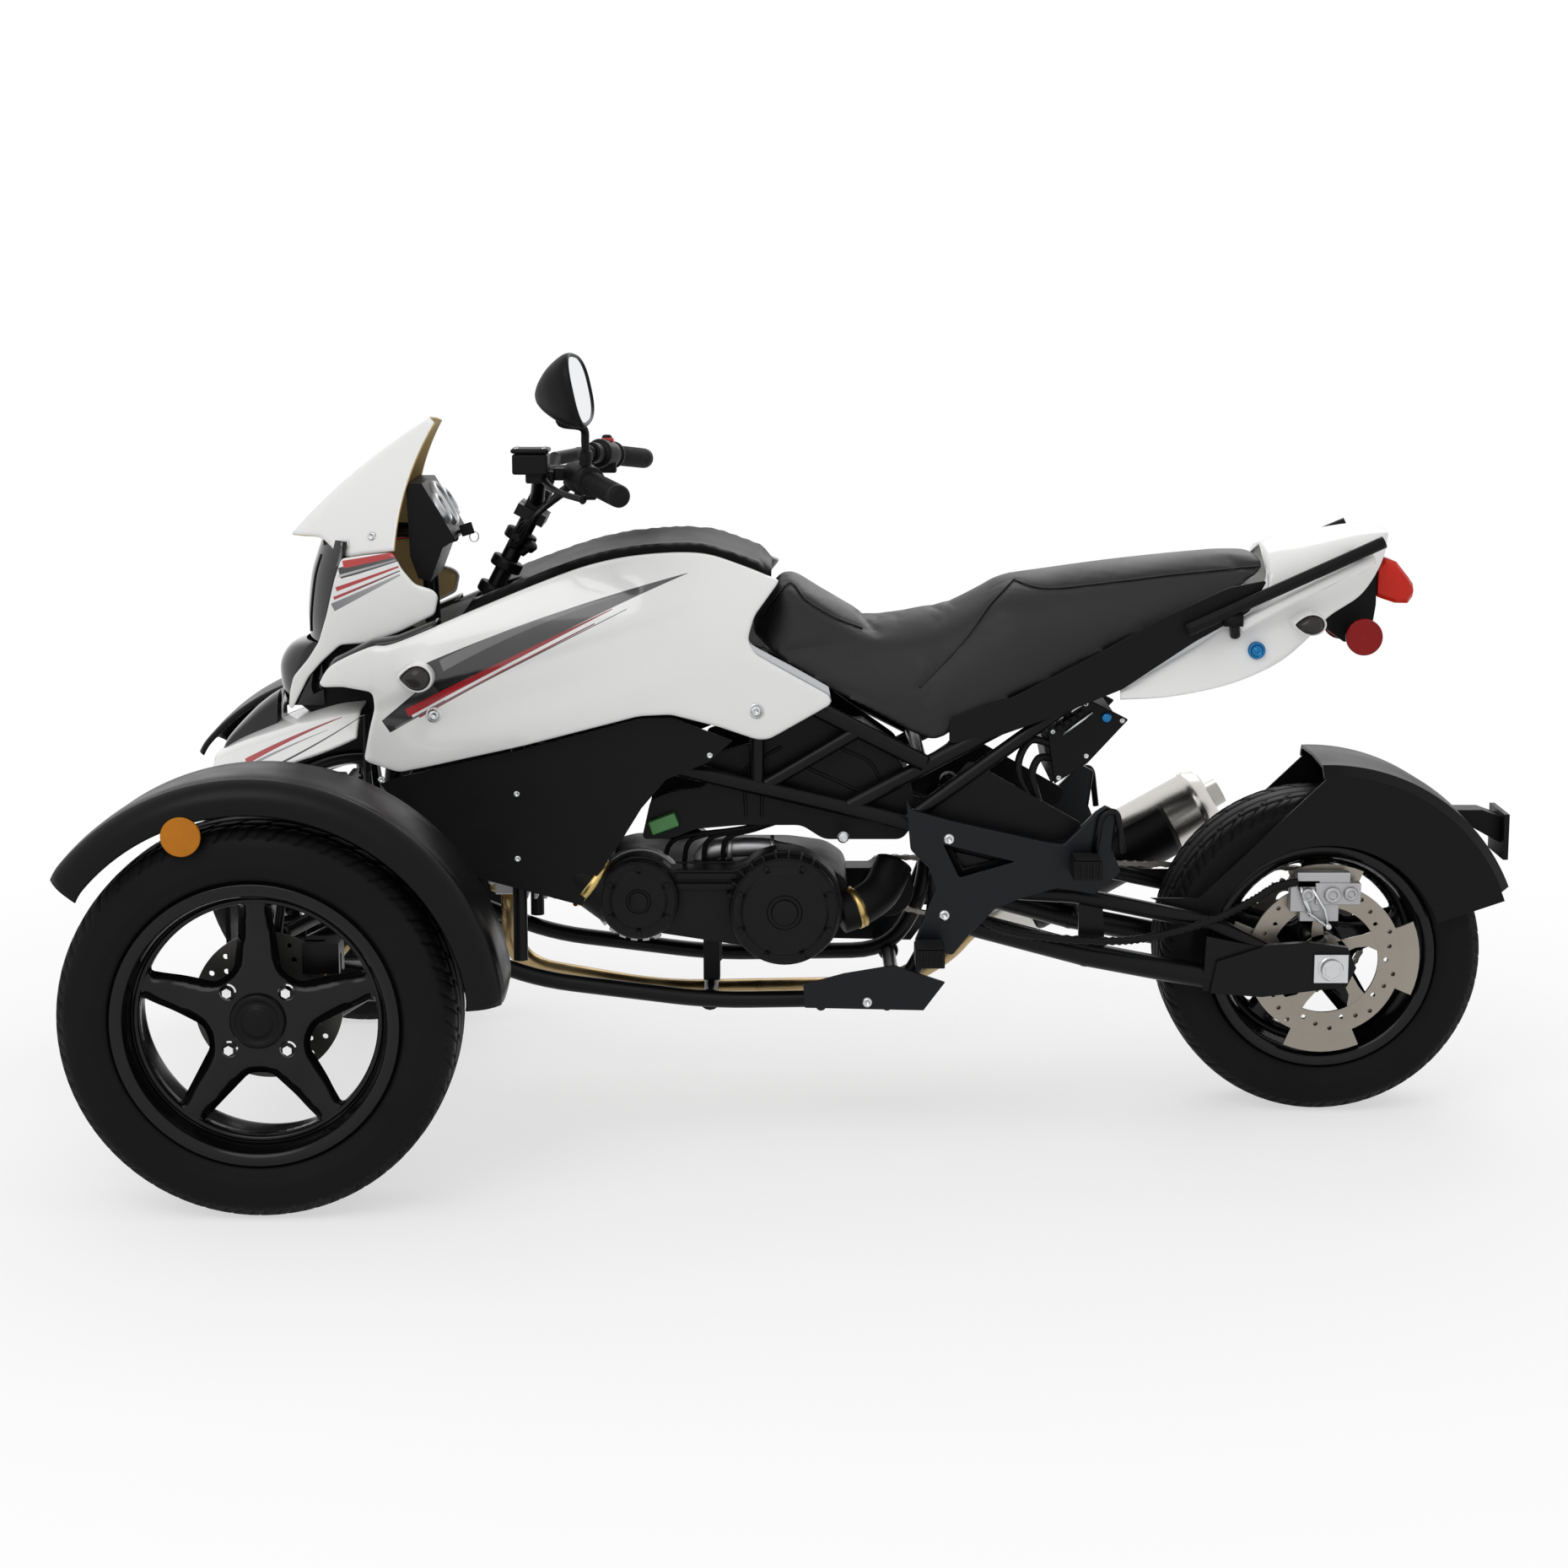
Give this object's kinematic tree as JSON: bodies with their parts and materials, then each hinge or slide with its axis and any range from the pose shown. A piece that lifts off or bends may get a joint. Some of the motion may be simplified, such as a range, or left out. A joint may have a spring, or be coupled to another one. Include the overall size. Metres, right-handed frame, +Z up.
{
  "type": "reverse three wheeled motor tricycle",
  "caption": "Open three wheeled motor trike with paired steered front wheels under cycle fenders, a handlebar, stepped saddle, open engine bay and one driven rear wheel.",
  "frame": {"origin": "on the ground, in the middle of the outline in plan", "axes": "+X to the rear, +Y to the rider's right, +Z up"},
  "size_m": [2.1469, 1.28, 1.1929],
  "materials": {
    "black_tube": "satin black paint",
    "engine_black": "satin black",
    "white_body": "gloss white with stripes",
    "black_gloss": "gloss black",
    "black_plastic": "textured black",
    "lamp": "smoked lens",
    "red_lens": "red lens",
    "seat_vinyl": "grained black vinyl",
    "steel": "brushed",
    "header": "heat tinted",
    "brass": "gold plated",
    "alloy_black": "satin black alloy",
    "tyre": "matt",
    "rubber": "matt",
    "spring": "gloss"
  },
  "bodies": {
    "chassis": {"frame_left": "black_tube", "frame_right": "black_tube", "cradle_rails": "black_tube", "cross_tubes": "black_tube", "front_subframe": "black_tube", "control_arms": "black_tube", "front_shocks": "spring", "engine": "engine_black", "cvt_cover": "engine_black", "air_box": "black_plastic", "exhaust_pipe": "header", "silencer": "steel", "tank_cover": "black_gloss", "side_panels": "white_body", "lower_panels": "black_plastic", "nose_cowl": "white_body", "headlamp": "lamp", "windscreen": "white_body", "nose_panel": "white_body", "instrument_pod": "black_plastic", "seat": "seat_vinyl", "tail_cowl": "white_body", "tail_bracket": "black_plastic", "tail_lamp": "red_lens", "turn_signals": "lamp", "grab_handles": "black_plastic", "swingarm": "black_tube", "rear_shock": "spring", "rear_axle": "steel", "rear_fender": "black_plastic", "rear_caliper": "engine_black", "foot_plates": "alloy_black", "foot_pegs": "rubber", "electrics_box": "black_plastic", "side_boards": "alloy_black", "nose_centre": "black_gloss", "chain": "steel"},
    "steering": {"steering_column": "black_tube", "handlebar": "black_tube", "grips": "rubber", "hand_controls": "black_plastic", "mirrors": "black_plastic"},
    "left_knuckle": {"knuckle_left": "black_tube", "fender_left": "black_plastic"},
    "right_knuckle": {"knuckle_right": "black_tube", "fender_right": "black_plastic"},
    "left_tie_rod": {"tie_rod_left": "brass"},
    "right_tie_rod": {"tie_rod_right": "brass"},
    "left_wheel": {"front_tyre_left": "tyre", "front_rim_left": "alloy_black", "front_disc_left": "steel"},
    "right_wheel": {"front_tyre_right": "tyre", "front_rim_right": "alloy_black", "front_disc_right": "steel"},
    "rear_wheel": {"rear_tyre": "tyre", "rear_rim": "alloy_black", "rear_discs": "steel"}
  },
  "joints": [
    {"name": "steer", "type": "hinge", "parent": "chassis", "child": "steering", "pos_m": [-0.5215, 0, 0.797], "axis": [0.4602, 0, 0.8878], "range_deg": [-30, 30]},
    {"name": "left_kingpin", "type": "hinge", "parent": "chassis", "child": "left_knuckle", "pos_m": [-0.7925, -0.44, 0.281], "axis": [0.0993, 0, 0.9951], "range_deg": [-30, 30]},
    {"name": "right_kingpin", "type": "hinge", "parent": "chassis", "child": "right_knuckle", "pos_m": [-0.7925, 0.44, 0.281], "axis": [0.0993, 0, 0.9951], "range_deg": [-30, 30]},
    {"name": "left_tie_rod_pivot", "type": "hinge", "parent": "steering", "child": "left_tie_rod", "pos_m": [-0.70687, -0.015, 0.309], "axis": [0.4602, 0, 0.8878], "range_deg": [-30, 30]},
    {"name": "right_tie_rod_pivot", "type": "hinge", "parent": "steering", "child": "right_tie_rod", "pos_m": [-0.70687, 0.015, 0.309], "axis": [0.4602, 0, 0.8878], "range_deg": [-30, 30]},
    {"name": "left_wheel_spin", "type": "hinge", "parent": "left_knuckle", "child": "left_wheel", "pos_m": [-0.7925, -0.545, 0.281], "axis": [0, 1, 0], "continuous": true},
    {"name": "right_wheel_spin", "type": "hinge", "parent": "right_knuckle", "child": "right_wheel", "pos_m": [-0.7925, 0.545, 0.281], "axis": [0, 1, 0], "continuous": true},
    {"name": "rear_wheel_spin", "type": "hinge", "parent": "chassis", "child": "rear_wheel", "pos_m": [0.7815, 0, 0.2525], "axis": [0, 1, 0], "continuous": true}
  ],
  "couplings": [
    {"joint": "left_kingpin", "follows": "steer", "ratio": 1},
    {"joint": "right_kingpin", "follows": "steer", "ratio": 1},
    {"joint": "left_tie_rod_pivot", "follows": "steer", "ratio": -1},
    {"joint": "right_tie_rod_pivot", "follows": "steer", "ratio": -1}
  ]
}
